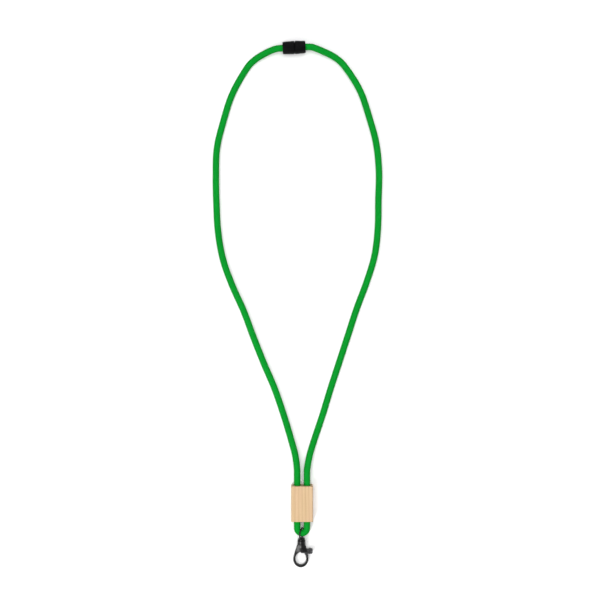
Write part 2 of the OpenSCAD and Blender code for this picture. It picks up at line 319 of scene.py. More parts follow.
def stage():
    """A plain pale floor under three soft lights and a white world."""
    corners = [(x * FLOOR_REACH, y * FLOOR_REACH, 0) for x, y in ((-1, -1), (1, -1), (1, 1), (-1, 1))]
    floor = mesh_object("floor", corners, [(0, 1, 2, 3)])
    floor.data.materials.append(floor_material())
    for name, light in LIGHTS.items():
        soft_light(name, *light)
    world = bpy.data.worlds.new("studio")
    world.use_nodes = True
    background = world.node_tree.nodes["Background"]
    background.inputs["Color"].default_value = (1, 1, 1, 1)
    background.inputs["Strength"].default_value = WORLD_STRENGTH
    bpy.context.scene.world = world
    bpy.context.scene.view_settings.view_transform = "Standard"


# ---------------------------------------------------------------- materials

LEFT_YARN_NUMBER = 57.0    # sets the left-laid yarns' noise apart from the right-laid ones'
PITH_X, PITH_Z = -0.017, -0.030    # the tree's middle from the frame's origin, in metres
RING_SWAY = 0.004          # how far the rings wander, in metres
RINGS_PER_METRE = 640.0


class Shader:
    """A material's nodes, with short calls that take numbers, colours or sockets."""

    def __init__(self, name, roughness, metallic=0.0, **sockets):
        self.material = bpy.data.materials.new(name)
        self.material.use_nodes = True
        self.tree = self.material.node_tree
        self.surface = self.tree.nodes["Principled BSDF"]
        self.surface.inputs["Roughness"].default_value = roughness
        self.surface.inputs["Metallic"].default_value = metallic
        for key, value in sockets.items():
            self.surface.inputs[key.replace("_", " ")].default_value = value

    def put(self, socket, value):
        """Links value to the socket if it is a socket, or else sets it there."""
        if isinstance(value, bpy.types.NodeSocket):
            self.tree.links.new(value, socket)
        elif socket.type == "RGBA" and len(value) == 3:
            socket.default_value = (*value, 1)
        else:
            socket.default_value = value

    def math(self, operation, *values):
        node = self.tree.nodes.new("ShaderNodeMath")
        node.operation = operation
        for socket, value in zip(node.inputs, values):
            self.put(socket, value)
        return node.outputs[0]

    def place(self, scale=(1, 1, 1)):
        """The piece's own coordinates in metres, scaled."""
        coords = self.tree.nodes.new("ShaderNodeTexCoord")
        mapping = self.tree.nodes.new("ShaderNodeMapping")
        mapping.inputs["Scale"].default_value = scale
        self.tree.links.new(coords.outputs["Object"], mapping.inputs["Vector"])
        return mapping.outputs[0]

    def noise(self, vector, scale, detail=3.0, roughness=0.5):
        node = self.tree.nodes.new("ShaderNodeTexNoise")
        self.put(node.inputs["Vector"], vector)
        for key, value in (("Scale", scale), ("Detail", detail), ("Roughness", roughness)):
            self.put(node.inputs[key], value)
        return node.outputs["Fac"]

    def split(self, vector):
        node = self.tree.nodes.new("ShaderNodeSeparateXYZ")
        self.put(node.inputs[0], vector)
        return node.outputs

    def join(self, x, y, z):
        node = self.tree.nodes.new("ShaderNodeCombineXYZ")
        for socket, value in zip(node.inputs, (x, y, z)):
            self.put(socket, value)
        return node.outputs[0]

    def ramp(self, value, *stops):
        """A colour ramp. Each stop is (position, colour)."""
        node = self.tree.nodes.new("ShaderNodeValToRGB")
        self.put(node.inputs["Fac"], value)
        while len(node.color_ramp.elements) < len(stops):
            node.color_ramp.elements.new(1)
        for element, (position, colour) in zip(node.color_ramp.elements, stops):
            element.position = position
            element.color = (*colour, 1)
        return node.outputs["Color"]

    def span(self, value, low, high, new_low, new_high):
        """value's range low to high becomes new_low to new_high."""
        node = self.tree.nodes.new("ShaderNodeMapRange")
        for socket, v in zip(node.inputs, (value, low, high, new_low, new_high)):
            self.put(socket, v)
        return node.outputs[0]

    def mix(self, factor, a, b):
        node = self.tree.nodes.new("ShaderNodeMix")
        node.data_type = "RGBA"
        colour_a, colour_b, colour_out = node.inputs[6], node.inputs[7], node.outputs[2]
        self.put(node.inputs["Factor"], factor)
        self.put(colour_a, a)
        self.put(colour_b, b)
        return colour_out

    def bump(self, height, strength, depth, before=None):
        """Bump of depth millimetres."""
        node = self.tree.nodes.new("ShaderNodeBump")
        self.put(node.inputs["Height"], height)
        node.inputs["Strength"].default_value = strength
        node.inputs["Distance"].default_value = depth * MM
        if before is not None:
            self.put(node.inputs["Normal"], before)
        return node.outputs[0]

    def done(self, colour, normal=None, roughness=None):
        """Feeds the surface and returns the material."""
        for key, value in (("Base Color", colour), ("Normal", normal), ("Roughness", roughness)):
            if value is not None:
                self.put(self.surface.inputs[key], value)
        return self.material


def floor_material():
    """Nearly white, faintly cloudy card."""
    s = Shader("floor", 0.9)
    cloudy = s.noise(s.place(), 3.0)
    return s.done(s.ramp(cloudy, (0.3, (0.9, 0.9, 0.9)), (0.7, (0.93, 0.93, 0.93))))


def cord_material():
    """Braided yarn, drawn on the braid's UV map: u counts yarns round the cord, v crossings along it."""
    s = Shader(
        "green_braid", 0.7, Specular_IOR_Level=0.06,
        Sheen_Weight=0.03, Sheen_Roughness=0.4, Sheen_Tint=(0.3, 0.9, 0.4, 1),
    )
    uv = s.tree.nodes.new("ShaderNodeUVMap")
    uv.uv_map = "braid"
    around, along = s.split(uv.outputs[0])[:2]
    right, left = s.math("ADD", around, along), s.math("SUBTRACT", around, along)
    right_yarn, left_yarn = s.math("FLOOR", right), s.math("FLOOR", left)
    cell = s.math("FLOORED_MODULO", s.math("ADD", right_yarn, left_yarn), 4.0)
    right_on_top = s.math("LESS_THAN", cell, 2.0)

    def pick(if_right, if_left):
        """What holds for the yarn that lies on top here."""
        return s.math("ADD", if_left, s.math("MULTIPLY", right_on_top, s.math("SUBTRACT", if_right, if_left)))

    across = pick(s.math("FRACT", right), s.math("FRACT", left))
    onward = pick(left, right)
    carrier = pick(right_yarn, s.math("ADD", left_yarn, LEFT_YARN_NUMBER))
    off_middle = s.math("MULTIPLY", s.math("ABSOLUTE", s.math("SUBTRACT", across, 0.5)), 2.0)
    fibre_place = s.join(s.math("MULTIPLY", across, 9.0), s.math("MULTIPLY", onward, 0.6), carrier)
    fibres = s.noise(fibre_place, 1.6, 2.0)
    ridges = s.math("SINE", s.math("ADD", s.math("MULTIPLY", across, 31.0), s.math("MULTIPLY", fibres, 5.0)))
    yarn_tone = s.noise(s.join(s.math("MULTIPLY", carrier, 7.3), s.math("MULTIPLY", onward, 0.05), 0.0), 1.0)
    base = s.ramp(yarn_tone, (0.3, (0.001, 0.235, 0.015)), (0.7, (0.002, 0.33, 0.026)))
    # Painted shade: each yarn is darkened towards its edges, where the grooves between the yarns fall into
    # shade.
    groove = s.math("POWER", off_middle, 3.0)
    base = s.mix(s.math("MULTIPLY", groove, 0.6), base, (0.001, 0.09, 0.007))
    # Painted sheen: lighter, paler streaks along the fibres stand in for light glinting on them.
    lit = s.mix(s.span(fibres, 0.35, 0.75, 0.0, 0.35), base, (0.008, 0.42, 0.052))
    patches = s.noise(s.place(), 30.0, 2.0)
    lit = s.mix(s.span(patches, 0.35, 0.7, 0.0, 0.22), lit, (0.001, 0.2, 0.012))
    relief = s.bump(ridges, 0.5, 0.05, s.bump(fibres, 0.4, 0.08))
    return s.done(lit, relief)


def wood_material(name, end_grain):
    """Pale beech with its rings about a far pith, short dark flecks and fine pores along Y."""
    s = Shader(name, 0.5, Specular_IOR_Level=0.3)
    x, _, z = s.split(s.place())
    sway = s.noise(s.place((150, 14, 150)), 1.0, 3.0)
    px = s.math("ADD", s.math("SUBTRACT", x, PITH_X), s.math("MULTIPLY", sway, RING_SWAY))
    pz = s.math("SUBTRACT", z, PITH_Z)
    radius = s.math("SQRT", s.math("ADD", s.math("POWER", px, 2.0), s.math("POWER", pz, 2.0)))
    ring = s.math("FRACT", s.math("MULTIPLY", radius, RINGS_PER_METRE))
    early, late = (0.6, 0.44, 0.255), (0.475, 0.315, 0.175)
    tone = s.ramp(ring, (0.0, early), (0.6, (0.575, 0.405, 0.23)), (0.9, late), (0.98, early))
    streaks = s.noise(s.place((1500, 26, 1500)), 1.0, 4.0, 0.6)
    tone = s.mix(s.span(streaks, 0.38, 0.68, 0.0, 0.5), tone, (0.475, 0.32, 0.18))
    blush = s.noise(s.place((140, 20, 140)), 1.0, 2.0)
    tone = s.mix(s.span(blush, 0.4, 0.7, 0.0, 0.35), tone, (0.6, 0.385, 0.262))
    flecks = s.noise(s.place((5600, 800, 5600)), 1.0, 1.0)
    tone = s.mix(s.span(flecks, 0.64, 0.74, 0.0, 0.4), tone, (0.34, 0.195, 0.1))
    pores = s.noise(s.place((5200, 5200 if end_grain else 420, 5200)), 1.0, 1.0)
    if end_grain:
        tone = s.mix(0.4, tone, (0.33, 0.19, 0.11))
        tone = s.mix(s.span(pores, 0.55, 0.7, 0.0, 0.5), tone, (0.22, 0.12, 0.07))
    normal = s.bump(pores, 0.35, 0.05, s.bump(streaks, 0.35, 0.06))
    return s.done(tone, normal, s.span(streaks, 0.3, 0.7, 0.44, 0.6))


def plastic_material():
    """Black moulded plastic with a fine spark-eroded texture and a few rubbed spots."""
    s = Shader("black_plastic", 0.48, Specular_IOR_Level=0.07)
    grit = s.noise(s.place(), 5200.0, 2.0)
    rubbed = s.noise(s.place(), 160.0, 4.0, 0.6)
    colour = s.ramp(rubbed, (0.35, (0.0022, 0.0022, 0.0024)), (0.75, (0.0045, 0.0045, 0.005)))
    return s.done(colour, s.bump(grit, 0.45, 0.03), s.span(rubbed, 0.3, 0.7, 0.42, 0.6))


def coated_metal(name, dark, light, roughness):
    """Dark coating on a casting: fine orange peel, and a paler, smoother wear in patches."""
    s = Shader(name, roughness, Specular_IOR_Level=0.36)
    peel = s.noise(s.place(), 2600.0, 2.0)
    wear = s.noise(s.place(), 420.0, 5.0, 0.65)
    colour = s.ramp(wear, (0.4, dark), (0.72, light))
    polish = s.span(wear, 0.3, 0.75, roughness + 0.08, roughness - 0.08)
    return s.done(colour, s.bump(peel, 0.3, 0.03), polish)


def bare_metal(name, colour, roughness, lines):
    """Plain metal with drawing marks along Y, about lines of them for each millimetre across."""
    s = Shader(name, roughness, metallic=1.0)
    marks = s.noise(s.place((lines * 1000, 60, lines * 1000)), 1.0, 3.0)
    darker = tuple(c * 0.72 for c in colour)
    return s.done(s.ramp(marks, (0.3, darker), (0.7, colour)), s.bump(marks, 0.25, 0.01))


# ---------------------------------------------------------------- cords

# The routes of part.scad: centreline points in millimetres from the clasp to the straight stretch.
LEFT_ROUTE = [
    (-13.9, 235.9, 6), (-20, 235.3, 5.7), (-29, 232, 4.4), (-40, 225.5, 3.2), (-48, 216.5, 3),
    (-60.5, 194, 3), (-68.5, 169.5, 3), (-74.5, 144.5, 3), (-75.5, 119, 3), (-75, 93, 3),
    (-73.5, 67.5, 3), (-69, 42, 3), (-60.5, 18, 3), (-50, -5.5, 3), (-41, -29.5, 3),
    (-31.5, -53.5, 3), (-21.5, -77, 3), (-13, -101.5, 3), (-5.5, -126.5, 3.4), (-2, -140, 4.9),
    (-0.5, -153, 6),
]
RIGHT_ROUTE = [
    (7.1, 237, 6), (13.5, 236.8, 5.7), (23, 233.5, 4.4), (34.5, 228, 3.2), (44, 219, 3),
    (57.5, 197.5, 3), (66, 173, 3), (72.5, 148.5, 3), (75, 123, 3), (74.5, 97, 3),
    (74, 71, 3), (71, 45.5, 3), (63.5, 20.5, 3), (54.5, -3.5, 3), (46.5, -28, 3),
    (38.5, -52.5, 3), (30.5, -77, 3), (23, -101.5, 3), (14.5, -127, 3.4), (10.7, -140, 4.9),
    (8.5, -153, 6),
]
DOWN = (0, -10, 0)         # how both routes run on after their last point
BEND_Y = -205.4            # where the loop through the eye starts to turn
CORD_D = 6.0
CARRIERS = 16              # yarns laid each way round the braid
CROSSING = 1.68            # length of cord between two crossings of the same yarns
PER_YARN = 4               # mesh points across a yarn, both ways
GROOVE_R = 2.74            # radius in the grooves between yarns
CROWN = 0.30               # how far a yarn's crown stands above the grooves
CRIMPED_R, CRIMPED_CROWN = 2.78, 0.06
CRIMP_LENGTH = 3.0
CRIMP_TAPER = 1.2          # length over which the cord swells again past the ferrule


def clasp_frame():
    """The clasp's axis, sideways direction and middle of its parting line, and the socket's length."""
    axis = unit(joints["clasp_release"]["axis"])
    side = unit(np.cross((0, 0, 1), axis))
    points = node_points("socket_half")
    along, across = points @ axis, points @ side
    middle_z = (points[:, 2].min() + points[:, 2].max()) / 2
    origin = axis * along.max() + side * (across.min() + across.max()) / 2 + np.array([0, 0, middle_z])
    return axis, side, origin, along.max() - along.min()


clasp_axis, clasp_side, clasp_at, socket_l = clasp_frame()
plug_points = (node_points("plug_half") - clasp_at) @ clasp_axis
plug_l, snout_l = plug_points.max(), -plug_points.min()
clasp_matrix = frame_matrix(clasp_at, clasp_axis, clasp_side, (0, 0, 1))


def braid_height(right, left):
    """Height over the grooves of a two-over, two-under braid. right and left count the yarns
    of each direction, so that a whole number is the edge between two of them."""
    cell = np.mod(np.floor(right) + np.floor(left), 4)
    on_top = cell < 2
    across = np.where(on_top, right, left) % 1 - 0.5
    along = (np.where(on_top, cell + left % 1, cell - 2 + right % 1)) / 2
    section = np.sqrt(np.clip(1 - (2 * across) ** 2, 0, 1))
    return section * np.sqrt(np.clip(np.sin(np.pi * along), 0, 1))


def braided_tube(name, line, crimp_start, crimp_end):
    """A tube of braided yarn along line, with flat ends, and narrower in a ferrule at either end."""
    centres, s = resample(line, CROSSING / PER_YARN)
    tangent = np.gradient(centres, axis=0)
    tangent /= np.linalg.norm(tangent, axis=1, keepdims=True)
    side = np.cross(tangent, (0, 0, 1))
    side /= np.linalg.norm(side, axis=1, keepdims=True)
    up = np.cross(side, tangent)
    around = np.arange(CARRIERS * PER_YARN) / PER_YARN
    angle = 2 * np.pi * around / CARRIERS
    along = s / CROSSING
    height = braid_height(around[None] + along[:, None], around[None] - along[:, None])
    radius = GROOVE_R + CROWN * height
    for held, distance in ((crimp_start, s), (crimp_end, s[-1] - s)):
        if held:
            free = np.clip((distance - CRIMP_LENGTH) / CRIMP_TAPER, 0, 1)[:, None]
            radius = radius * free + (1 - free) * (CRIMPED_R - CRIMPED_CROWN + CRIMPED_CROWN * height)
    ring = np.cos(angle)[None, :, None] * side[:, None] + np.sin(angle)[None, :, None] * up[:, None]
    verts = (centres[:, None] + radius[..., None] * ring).reshape(-1, 3)
    rows, sides = len(centres), len(angle)
    i, k = np.meshgrid(np.arange(rows - 1), np.arange(sides), indexing="ij")
    a, b = (i * sides + k).ravel(), (i * sides + (k + 1) % sides).ravel()
    faces = np.stack([a, a + sides, b + sides, b], axis=1).tolist()
    first, last = len(verts), len(verts) + 1
    verts = np.vstack([verts, centres[0], centres[-1]])
    end = (rows - 1) * sides
    for k in range(sides):
        faces.append((first, k, (k + 1) % sides))
        faces.append((last, end + (k + 1) % sides, end + k))
    obj = mesh_object(name, verts * MM, faces)
    map_braid(obj.data, rows, sides)
    return obj, centres * MM


def map_braid(mesh, rows, sides):
    """The UV map that counts yarns round the tube and crossings along it."""
    loops = np.zeros(len(mesh.loops), int)
    mesh.loops.foreach_get("vertex_index", loops)
    row, column = loops // sides, loops % sides
    u, v = column / PER_YARN, row / PER_YARN
    walls = 4 * (rows - 1) * sides
    corners = u[:walls].reshape(-1, 4)
    wrap = np.zeros(len(loops), bool)
    wrap[:walls] = (corners.max(axis=1) - corners.min(axis=1) > 1).repeat(4)
    u[wrap & (column == 0)] = CARRIERS
    layer = mesh.uv_layers.new(name="braid")
    layer.data.foreach_set("uv", np.stack([u, v], axis=1).astype(np.float32).ravel())


def cords():
    """One length of cord in two pieces, which meet out of sight in the slider's right hole."""
    meeting = np.array(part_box("slider_block")).mean(axis=0) / MM
    bend_r = (RIGHT_ROUTE[-1][0] - LEFT_ROUTE[-1][0]) / 2
    height = RIGHT_ROUTE[-1][2]
    meet = (RIGHT_ROUTE[-1][0], meeting[1], height)
    bend = [
        (meeting[0] - bend_r * math.cos(t), BEND_Y - bend_r * math.sin(t), height)
        for t in np.linspace(0, math.pi, 40)
    ]
    socket_end = clasp_at - clasp_axis * (socket_l - END_WALL - CRIMP_LENGTH)
    plug_end = clasp_at + clasp_axis * (plug_l - END_WALL - CRIMP_LENGTH)
    left = [socket_end, *catmull_rom(LEFT_ROUTE, DOWN), *bend, meet]
    right = [meet, *catmull_rom(RIGHT_ROUTE, DOWN)[::-1], plug_end]
    for line in (left, right):
        for k, point in enumerate(line):
            line[k] = (point[0], point[1], max(point[2], CORD_D / 2))
    green = cord_material()
    long_run, long_path = braided_tube("cord_left_run", left, True, False)
    short_run, short_path = braided_tube("cord_right_run", right, False, True)
    for run in (long_run, short_run):
        run.data.materials.append(green)

    def length(path):
        return float(np.linalg.norm(np.diff(path, axis=0), axis=1).sum())

    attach(long_run, "lanyard")
    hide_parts("cord_left", "cord_loop", "cord_end_socket")
    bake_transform(short_run)
    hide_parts("cord_right", "cord_end_plug")


# ---------------------------------------------------------------- slider


def slider():
    """Wooden block with rounded edges and softened hole mouths."""
    low, high = (np.array(c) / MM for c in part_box("slider_block"))
    (width, length, height), middle = high - low, (low + high) / 2
    corner, end_round, mouth, hole_r = 1.2, 0.55, 0.45, 3.2
    pitch = RIGHT_ROUTE[-1][0] - LEFT_ROUTE[-1][0]
    holes = [-pitch / 2, pitch / 2]

    def outline(inset):
        """Rounded rectangle in the local XZ plane."""
        points = []
        for k, (sx, sz) in enumerate(((1, 1), (-1, 1), (-1, -1), (1, -1))):
            for t in np.linspace(0, math.pi / 2, 9):
                angle = t + k * math.pi / 2
                points.append(
                    (sx * (width / 2 - corner) + (corner - inset) * math.cos(angle),
                     sz * (height / 2 - corner) + (corner - inset) * math.sin(angle))
                )
        return points

    def circle(x, radius, count=56):
        """Circle in the local XZ plane about (x, 0)."""
        return [
            (x + radius * math.cos(a), radius * math.sin(a))
            for a in np.linspace(0, 2 * math.pi, count, endpoint=False)
        ]

    # Stations along the block: (y, how far the end rounding has gone, 1 at the end face).
    stations = [
        (-length / 2 + end_round * (1 - math.sin(t)), 1 - math.cos(t))
        for t in np.linspace(math.pi / 2, 0, 7)
    ]
    stations += [(y, 0.0) for y in np.linspace(-length / 2 + 2, length / 2 - 2, 9)]
    stations += [(-y, k) for y, k in stations[6::-1]]
    bm = bmesh.new()
    for shape in ["outer", *holes]:
        loops = []
        for y, k in stations:
            flat = outline(end_round * k) if shape == "outer" else circle(shape, hole_r + mouth * k)
            loops.append([bm.verts.new((x, y, z)) for x, z in flat])
        for a, b in zip(loops, loops[1:]):
            for i in range(len(a)):
                bm.faces.new((a[i], a[(i + 1) % len(a)], b[(i + 1) % len(a)], b[i]))
    for y in (-length / 2, length / 2):
        rim = [e for e in bm.edges if all(abs(v.co.y - y) < 1e-6 for v in e.verts)]
        made = bmesh.ops.triangle_fill(bm, use_beauty=True, use_dissolve=False, edges=rim)
        for face in made["geom"]:
            if isinstance(face, bmesh.types.BMFace):
                face.material_index = 1
    bmesh.ops.recalc_face_normals(bm, faces=bm.faces)
    mesh = bpy.data.meshes.new("slider")
    bm.to_mesh(mesh)
    bm.free()
    mesh.transform(frame_matrix(middle, (1, 0, 0), (0, 1, 0), (0, 0, 1)))
    mesh.shade_smooth()
    obj = bpy.data.objects.new("wooden_slider", mesh)
    bpy.context.scene.collection.objects.link(obj)
    obj.modifiers.new("even_flats", "WEIGHTED_NORMAL")
    mesh.materials.append(wood_material("beech", False))
    mesh.materials.append(wood_material("beech_end", True))
    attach(obj, "slider")
    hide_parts("slider_block")


# ---------------------------------------------------------------- clasp

CLASP_R, CLASP_END_R = 5.93, 5.48    # at the parting line and at the cord's end
HOLE_R, CHAMBER_R, SNOUT_R, SNOUT_BORE_R = 3.1, 3.6, 4.4, 4.5
BEAD_R, GROOVE_DEEP_R = 4.48, 4.8
BORE_DEPTH = 6.2
END_WALL = 1.5
NOTCH = 0.6                # chamfer on each side of the parting line
LIP = 0.35                 # chamfer of the holes
SEAM = 0.05                # height of the mould lines
PARTING_GAP = 0.1
SLOT_W = 0.9               # between the plug's four fingers


def socket_shell():
    """Socket half: a bore with a catch groove, then the ferrule's chamber and the cord's hole."""
    rear = -socket_l
    profile = [
        (0, SNOUT_BORE_R + LIP), (0, CLASP_R - NOTCH), (-NOTCH, CLASP_R), (rear, CLASP_END_R),
        (rear, HOLE_R + LIP), (rear + LIP, HOLE_R), (rear + END_WALL, HOLE_R), (rear + END_WALL, CHAMBER_R),
        (-BORE_DEPTH, CHAMBER_R), (-BORE_DEPTH, SNOUT_BORE_R), (-4.7, SNOUT_BORE_R),
        (-4.45, GROOVE_DEEP_R), (-3.35, GROOVE_DEEP_R), (-3.1, SNOUT_BORE_R), (-LIP, SNOUT_BORE_R),
        (0, SNOUT_BORE_R + LIP),
    ]
    rounds = [0, 0.15, 0.15, 0.9, 0.2, 0.15, 0, 0, 0, 0, 0.1, 0.1, 0.1, 0.1, 0.15, 0]
    return lathe("clasp_socket", fillet(profile, rounds)[:-1], clasp_matrix, seam=SEAM)


def plug_shell():
    """Plug half: a snout with a snap bead and four fingers, then the same chamber and hole."""
    front, back, tip = PARTING_GAP, plug_l, -snout_l
    profile = [
        (front, SNOUT_R), (front, CLASP_R - NOTCH), (front + NOTCH, CLASP_R), (back, CLASP_END_R),
        (back, HOLE_R + LIP), (back - LIP, HOLE_R), (back - END_WALL, HOLE_R), (back - END_WALL, CHAMBER_R),
        (tip, CHAMBER_R), (tip, SNOUT_R - 0.25), (tip + 0.5, SNOUT_R), (-4.4, SNOUT_R),
        (-3.9, BEAD_R), (-3.4, SNOUT_R), (front, SNOUT_R),
    ]
    rounds = [0, 0.15, 0.15, 0.9, 0.2, 0.15, 0, 0, 0.15, 0.15, 0.1, 0.1, 0.1, 0.1, 0]
    obj = lathe("clasp_plug", fillet(profile, rounds)[:-1], clasp_matrix, seam=SEAM)
    for turn in (45, 135):
        cut_slot(obj, turn, SLOT_W, tip - 0.5, -1.0)
    tidy(obj)
    return obj


def clasp():
    """Both halves, and the ferrule on the cord's end in each."""
    black = plastic_material()
    socket_obj, plug_obj = socket_shell(), plug_shell()
    for obj, body, node in ((socket_obj, "lanyard", "socket_half"), (plug_obj, "plug", "plug_half")):
        obj.data.materials.append(black)
        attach(obj, body)
        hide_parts(node)
    alloy = bare_metal("crimped_alloy", (0.62, 0.63, 0.65), 0.38, 4)
    for name, body, node, start in (
        ("socket_crimp", "lanyard", "socket_ferrule", -socket_l + END_WALL),
        ("plug_crimp", "plug", "plug_ferrule", plug_l - END_WALL - CRIMP_LENGTH),
    ):
        obj = crimp_ring(name, start)
        obj.data.materials.append(alloy)
        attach(obj, body)
        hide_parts(node)


def cut_slot(obj, turn, width, start, end):
    """Cuts a slot from start to end along the clasp's axis, turned about it by turn degrees."""
    reach = 2 * CLASP_R
    c, s = math.cos(math.radians(turn)), math.sin(math.radians(turn))
    corners = [
        (x, y * c - z * s, y * s + z * c)
        for x in (start, end) for y in (-width / 2, width / 2) for z in (-reach, reach)
    ]
    faces = [(0, 1, 3, 2), (4, 6, 7, 5), (0, 4, 5, 1), (2, 3, 7, 6), (0, 2, 6, 4), (1, 5, 7, 3)]
    cutter = mesh_object("cutter", place(corners, clasp_matrix), faces, smooth=False)
    cut = obj.modifiers.new("slot", "BOOLEAN")
    cut.operation, cut.object, cut.solver = "DIFFERENCE", cutter, "EXACT"
    bpy.context.view_layer.update()
    result = bpy.data.meshes.new_from_object(obj.evaluated_get(bpy.context.evaluated_depsgraph_get()))
    obj.modifiers.clear()
    obj.data = result
    bpy.data.objects.remove(cutter)


def crimp_ring(name, start):
    """An alloy ring with eight dents pressed round its middle."""
    outer, inner, middle, end = 3.55, 2.84, 3.2, start + CRIMP_LENGTH
    dents, dent_depth, dent_width, step = 8, 0.22, 0.7, 0.25
    corners = [(start, middle), (start, outer), (end, outer), (end, inner), (start, inner), (start, middle)]
    profile = fillet(corners, [0, 0.2, 0.2, 0.15, 0.15, 0], 4)[:-1]
    dense = []
    for (x0, r0), (x1, r1) in zip(profile, profile[1:] + profile[:1]):
        parts = max(1, int(abs(x1 - x0) / step))
        dense += [(x0 + (x1 - x0) * k / parts, r0 + (r1 - r0) * k / parts) for k in range(parts)]
    obj = lathe(name, dense, clasp_matrix)
    inverse = np.array(clasp_matrix.inverted())
    for v in obj.data.vertices:
        x, y, z = inverse[:3, :3] @ np.array(v.co) + inverse[:3, 3]
        r = math.hypot(y, z)
        if r > 3.3:
            along = math.exp(-(((x - (start + end) / 2) / dent_width) ** 2))
            depth = dent_depth * along * max(0, math.cos(dents * math.atan2(z, y))) ** 2
            v.co = clasp_matrix @ Vector((x, y * (r - depth) / r, z * (r - depth) / r))
    return obj


# ---------------------------------------------------------------- hook

hook_at = np.array(joints["hook_swivel"]["pos_m"]) / MM
hook_down = unit(joints["hook_swivel"]["axis"])
hook_up = -unit(joints["trigger_open"]["axis"])
hook_matrix = frame_matrix(hook_at, np.cross(-hook_down, hook_up), -hook_down, hook_up)
pivot = (np.array(hook_matrix.inverted()) @ np.array([*joints["trigger_open"]["pos_m"], 1]))[:2]

# Local frame: Y runs from the claw to the eye and Z out of the hook's flat face.
RING_Y = -24.3
RING_OUT, RING_IN, RING_IN_TOP = (7.0, 7.9), (5.0, 5.85), 7.1
RING_T, BODY_T, SLOT_T, TRIGGER_T = 3.6, 5.2, 2.6, 2.2
CHEEK_OUTLINE = [
    (-2.7, -9.4), (2.7, -9.4), (3.6, -10.4), (5.85, -17.3), (6.5, -20.4), (-6.5, -20.4), (-3.6, -10.4),
]
CHEEK_EDGE = 0.65                       # rounding
LEFT_FACET, RIGHT_FACET = 0.27, 0.13    # slopes of the body's two faces away from its ridge
TOE_FACET, TOE_Y = 0.1, 16.5            # slope towards the claw, and how far down it starts
BARREL_R, STEM_BORE_R, HEAD_BORE_R = 3.7, 1.26, 1.96
SLOT_TOP, SLOT_END = -11.2, -21.8
RIVET_HOLE_R = 0.79
CORNER_X, CORNER_Y = 1.9, -17.3         # where the casting makes room for the gate
GATE_REACH, GATE_GAP = 10.0, 0.3
GATE_OUTLINE = [
    (0.2, -17.0), (5.3, -16.0), (6.1, -18.6), (6.8, -21), (6.95, -24), (5.0, -24), (4.4, -21), (3.2, -18.9),
]
HUB_R, SPRING_SEAT_R, SEAT_FLOOR = 2.4, 2.6, 0.15
TAB_AT, TAB_HALF, TAB_CORNER = (7.6, -16.55), (1.5, 0.75), 1.6
TAB_ROOT, TAB_HALF_T, TAB_EDGE = 6.8, 1.6, 0.45
DISH_AT, DISH_UP, DISH_R = (8.5, -16.55), 5.1, 3.9    # the ball that hollows the tab's faces
EYE_TURN, EYE_R, WIRE_R, EYE_UP, EYE_WEB = 65, 4.6, 0.65, 0.3, 3.5
COLLAR_R, STEM_R, HEAD_R = 3.2, 1.2, 1.9
RIVET_HEAD_R, RIVET_R, DOME, SKIRT = 1.4, 0.75, 0.5, 0.7


def away_from_pivot(p):
    """Distance from the rivet's axis."""
    return np.linalg.norm(p[..., :2] - pivot, axis=-1)


def hook_distance(p):
    """Barrel, two cheeks with the trigger's slot between them, and the claw."""
    barrel = rod_distance(p, (0, -6.4, 0), (0, -9.9, 0), BARREL_R, 0.3)
    ring_hole = oval_distance(p, RING_Y, RING_IN, RING_IN_TOP)
    outline = np.maximum(polygon_distance(p, CHEEK_OUTLINE), -ring_hole)
    fall = smooth_max(-LEFT_FACET * p[..., 0], RIGHT_FACET * p[..., 0], 0.08)
    crown = BODY_T / 2 - fall - TOE_FACET * np.clip(-p[..., 1] - TOE_Y, 0, 5)
    cheeks = slab(outline, p, crown, CHEEK_EDGE)
    ring = np.maximum(oval_distance(p, RING_Y, RING_OUT, RING_OUT[1]), -ring_hole)
    claw = slab(ring, p, RING_T / 2, 0.8)
    body = smooth_min(smooth_min(cheeks, claw, 0.6), barrel, 0.9)
    gate_room = away_from_pivot(p) - GATE_REACH - GATE_GAP
    corner = np.maximum(CORNER_X - p[..., 0], np.maximum(p[..., 1] - CORNER_Y, gate_room))
    body = smooth_max(body, -corner, 0.45)
    slot = box_distance(p, (pivot[0] - 3, SLOT_END, -SLOT_T / 2), (12, SLOT_TOP, SLOT_T / 2), 0.1)
    body = smooth_max(body, -slot, 0.2)
    bore = rod_distance(p, (0, -5, 0), (0, SLOT_TOP, 0), STEM_BORE_R)
    chamber = rod_distance(p, (0, -9.2, 0), (0, SLOT_TOP, 0), HEAD_BORE_R)
    rivet_hole = rod_distance(p, (*pivot, -5), (*pivot, 5), RIVET_HOLE_R)
    return np.maximum(body, -np.minimum(np.minimum(bore, chamber), rivet_hole))


